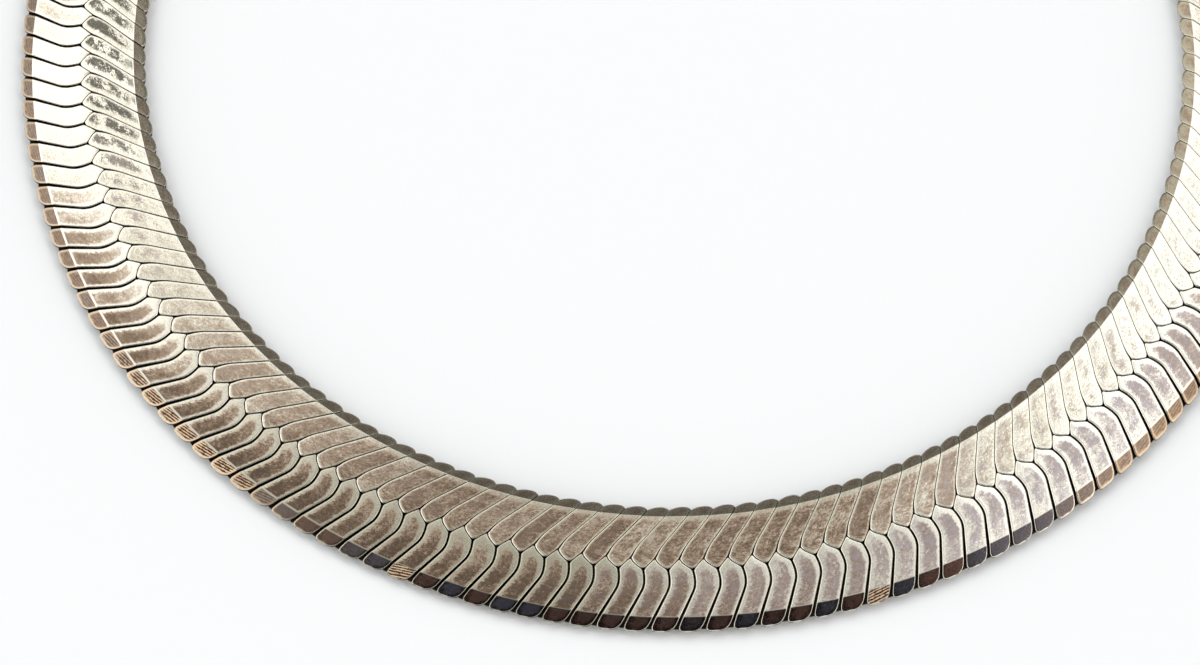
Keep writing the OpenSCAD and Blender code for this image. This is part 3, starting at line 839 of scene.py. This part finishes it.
def black_gap(node, tints):
    """Silver blackened by sulphide and old polish in the gaps, where no cloth reaches, together with painted
    shade that keeps the walls and undersides of the plates dark: dull, nearly black, with a rusty brown here
    and there."""
    place = node("TexCoord", output="Object")
    dust_size = 0.5 * MM
    dust = node("TexNoise", {"Vector": place, "Scale": 1 / dust_size, "Detail": 3})
    share = node("MapRange", (dust, 0.45, 0.75), **SMOOTH)
    mixed = node("Mix", {SHARE: share, UNDER: tints["soot"], OVER: tints["rust"]}, **COLOURS)
    return {"Base Color": mixed, "Metallic": 0.7, "Roughness": 0.6}


def satin_silver(node, tints):
    """Plain silver finished with a satin wheel: fine even lines give it a soft pale gleam."""
    place = node("TexCoord", output="Object")
    # The wheel's lines are 0.03 mm apart, too fine to show, so they are drawn 0.12 mm apart
    line_step, blotch_size = 0.12 * MM, 2.5 * MM
    stretched = node("Mapping", {0: place, "Scale": (1, 0.04, 0.04)})
    lines = node("TexNoise", {"Vector": stretched, "Scale": 1 / line_step, "Detail": 3})
    blotch = node("TexNoise", {"Vector": place, "Scale": 1 / blotch_size, "Detail": 4})
    share = node("MapRange", (blotch, 0.35, 0.6), **SMOOTH)
    mixed = node("Mix", {SHARE: share, UNDER: tints["beige"], OVER: tints["satin"]}, **COLOURS)
    dull = node("MapRange", (lines, 0, 1, 0.25, 0.42))
    bump = node("Bump", {"Height": lines, "Strength": 0.3, "Distance": 0.004 * MM})
    return {"Base Color": mixed, "Metallic": 1, "Roughness": dull, "Normal": bump}


def white_laminate(node, tints):
    """Smooth white laminate table top, with no sheen and a slight cool tone."""
    return {"Base Color": tints["table"], "Metallic": 0, "Roughness": 0.6}


def put(obj):
    """Links an object to the scene."""
    bpy.context.scene.collection.objects.link(obj)
    return obj


class COLLAR_OT_chain(bpy.types.Operator):
    """Makes both halves of the chain, with rounded and tarnished plates"""

    bl_idname = "collar.chain"
    bl_label = "Chain"

    def execute(self, context):
        sizes, finish = context.scene.collar_sizes, context.scene.collar_finish
        plan = LinkPlan(sizes)
        silver = new_material("tarnished_rolled_silver", tarnished_silver, finish)
        gap = new_material("blackened_and_shaded_gap_silver", black_gap, finish)
        halves = (("chain_left", -sizes.links_left, -1, 3), ("chain_right", 0, sizes.links_right - 1, 7))
        for node, first, last, seed in halves:
            mesh = chain_mesh(node + "_plates", plan, first, last, seed)
            mesh.materials.append(silver)
            mesh.materials.append(gap)
            piece = put(bpy.data.objects.new(node + "_plates", mesh))
            self.compare(node, mesh)
            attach(piece, "root")
            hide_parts(node)
        return {"FINISHED"}

    @staticmethod
    def compare(node, mesh):
        """Stops the script if the mesh doesn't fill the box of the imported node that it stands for."""
        low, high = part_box(node)
        mine = np.array([v.co for v in mesh.vertices])
        off = max(np.abs(mine.min(0) - low).max(), np.abs(mine.max(0) - high).max())
        if off > 0.3 * MM:
            raise RuntimeError(f"{node} is {off / MM:.2f} mm off the packed model")


class COLLAR_OT_clasp(bpy.types.Operator):
    """Gives the clasp and both end bars their satin finish and broken edges"""

    bl_idname = "collar.clasp"
    bl_label = "Clasp"

    def execute(self, context):
        satin = new_material("satin_finished_silver", satin_silver, context.scene.collar_finish)
        for node in ("clasp", "end_cap_left", "end_cap_right"):
            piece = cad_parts[node]
            piece.data.materials.clear()
            piece.data.materials.append(satin)
            weld = piece.modifiers.new("Weld", "WELD")
            weld.merge_threshold = 0.001 * MM
            edge = piece.modifiers.new("Broken edges", "BEVEL")
            edge.width = 0.06 * MM
            edge.segments = 2
            edge.limit_method = "ANGLE"
            edge.angle_limit = radians(35)
        return {"FINISHED"}


# Camera as fitted to the photograph: it looks at this point on the band's top from 329 mm away
CAMERA_TARGET = Vector((-6.67 * MM, -39.56 * MM, 1.8 * MM))
CAMERA_DISTANCE = 329.0 * MM
CAMERA_ELEVATION = radians(63.8)
CAMERA_ROLL = radians(1.27)

# Brightness of the white tent round the table, and the cards and lamps that show against it: azimuth (0 is
# behind the collar and 90 on its right) and elevation in degrees, the radius up to which each is even, the
# radius at which it ends, and its brightness and tint
TENT = 1.9
CARDS = (
    ("grey card low behind", 0, 18, 40, 55, 0.35, "#FFFFFF"),
    ("grey card behind", 0, 67, 10, 18, 0.42, "#FFFFFF"),
    ("softbox left", -30, 50, 12, 22, 2.0, "#FFFDF9"),
    ("softbox right", 33, 54, 13, 18, 2.3, "#FFFFFF"),
    ("dark card in front", 180, 60, 25, 50, 0.03, "#FFFFFF"),
    ("warm lamp left", -102, 47, 6, 14, 2.4, "#FFF5EB"),
    ("warm lamp right", 97, 44, 10, 22, 3.0, "#FFF5EB"),
    ("grey card right", 60, 32, 14, 28, 0.35, "#FFFFFF"),
)

# Half of the table's side, in metres
TABLE_HALF = 2.5


def towards(azimuth, elevation):
    """Direction with this azimuth and elevation in degrees."""
    a, e = radians(azimuth), radians(elevation)
    return sin(a) * cos(e), cos(a) * cos(e), sin(e)


def studio_world():
    """The white tent with its cards and lamps, as the world's light by direction."""
    world = bpy.data.worlds.new("studio")
    world.use_nodes = True
    world.node_tree.nodes.clear()
    node = partial(add, world.node_tree)
    way = node("TexCoord", output="Generated")
    light = (TENT, TENT, TENT, 1)
    for _, azimuth, elevation, even, ends, brightness, tint in CARDS:
        closeness = node("VectorMath", (way, towards(azimuth, elevation)), output="Value",
                         operation="DOT_PRODUCT")
        start, full = cos(radians(ends)), cos(radians(even))
        share = node("MapRange", (closeness, start, full), **SMOOTH)
        card = (*(brightness * part for part in linear(tint)), 1)
        light = node("Mix", {SHARE: share, UNDER: light, OVER: card}, **COLOURS)
    node("OutputWorld", {"Surface": node("Background", {"Color": light})})
    return world


class COLLAR_OT_stage(bpy.types.Operator):
    """Adds the pale table, the soft studio light and the camera"""

    bl_idname = "collar.stage"
    bl_label = "Stage"

    def execute(self, context):
        scene = context.scene
        mesh = bpy.data.meshes.new("table")
        corners = [(x * TABLE_HALF, y * TABLE_HALF, 0) for x, y in ((-1, -1), (1, -1), (1, 1), (-1, 1))]
        mesh.from_pydata(corners, [], [(0, 1, 2, 3)])
        mesh.materials.append(new_material("white_laminate", white_laminate, scene.collar_finish))
        put(bpy.data.objects.new("table", mesh))
        scene.world = studio_world()

        camera = put(bpy.data.objects.new("camera", bpy.data.cameras.new("camera")))
        camera.data.sensor_width = 36
        camera.data.lens = 90
        camera.data.clip_start = 0.01
        tilt = Matrix.Rotation(pi / 2 - CAMERA_ELEVATION, 4, "X") @ Matrix.Rotation(CAMERA_ROLL, 4, "Z")
        back = Vector((0, -cos(CAMERA_ELEVATION), sin(CAMERA_ELEVATION)))
        camera.matrix_world = Matrix.Translation(CAMERA_TARGET + CAMERA_DISTANCE * back) @ tilt
        scene.camera = camera
        scene.view_settings.view_transform = "Standard"
        return {"FINISHED"}


class COLLAR_PT_panel(bpy.types.Panel):
    """Lists the steps that dress the collar"""

    bl_idname = "COLLAR_PT_panel"
    bl_label = "Herringbone Collar"
    bl_space_type = "VIEW_3D"
    bl_region_type = "UI"
    bl_category = "Collar"

    def draw(self, context):
        for step in STEPS:
            self.layout.operator(step.bl_idname)
        for group in (context.scene.collar_sizes, context.scene.collar_finish):
            box = self.layout.box()
            for name in group.__annotations__:
                box.prop(group, name)


STEPS = (COLLAR_OT_chain, COLLAR_OT_clasp, COLLAR_OT_stage)
CLASSES = (CollarSizes, CollarFinish, *STEPS, COLLAR_PT_panel)


def register():
    for cls in CLASSES:
        bpy.utils.register_class(cls)
    bpy.types.Scene.collar_sizes = PointerProperty(type=CollarSizes)
    bpy.types.Scene.collar_finish = PointerProperty(type=CollarFinish)


def unregister():
    del bpy.types.Scene.collar_finish
    del bpy.types.Scene.collar_sizes
    for cls in reversed(CLASSES):
        bpy.utils.unregister_class(cls)


def main():
    register()
    bpy.ops.collar.chain()
    bpy.ops.collar.clasp()
    bpy.ops.collar.stage()


if __name__ == "__main__":
    main()
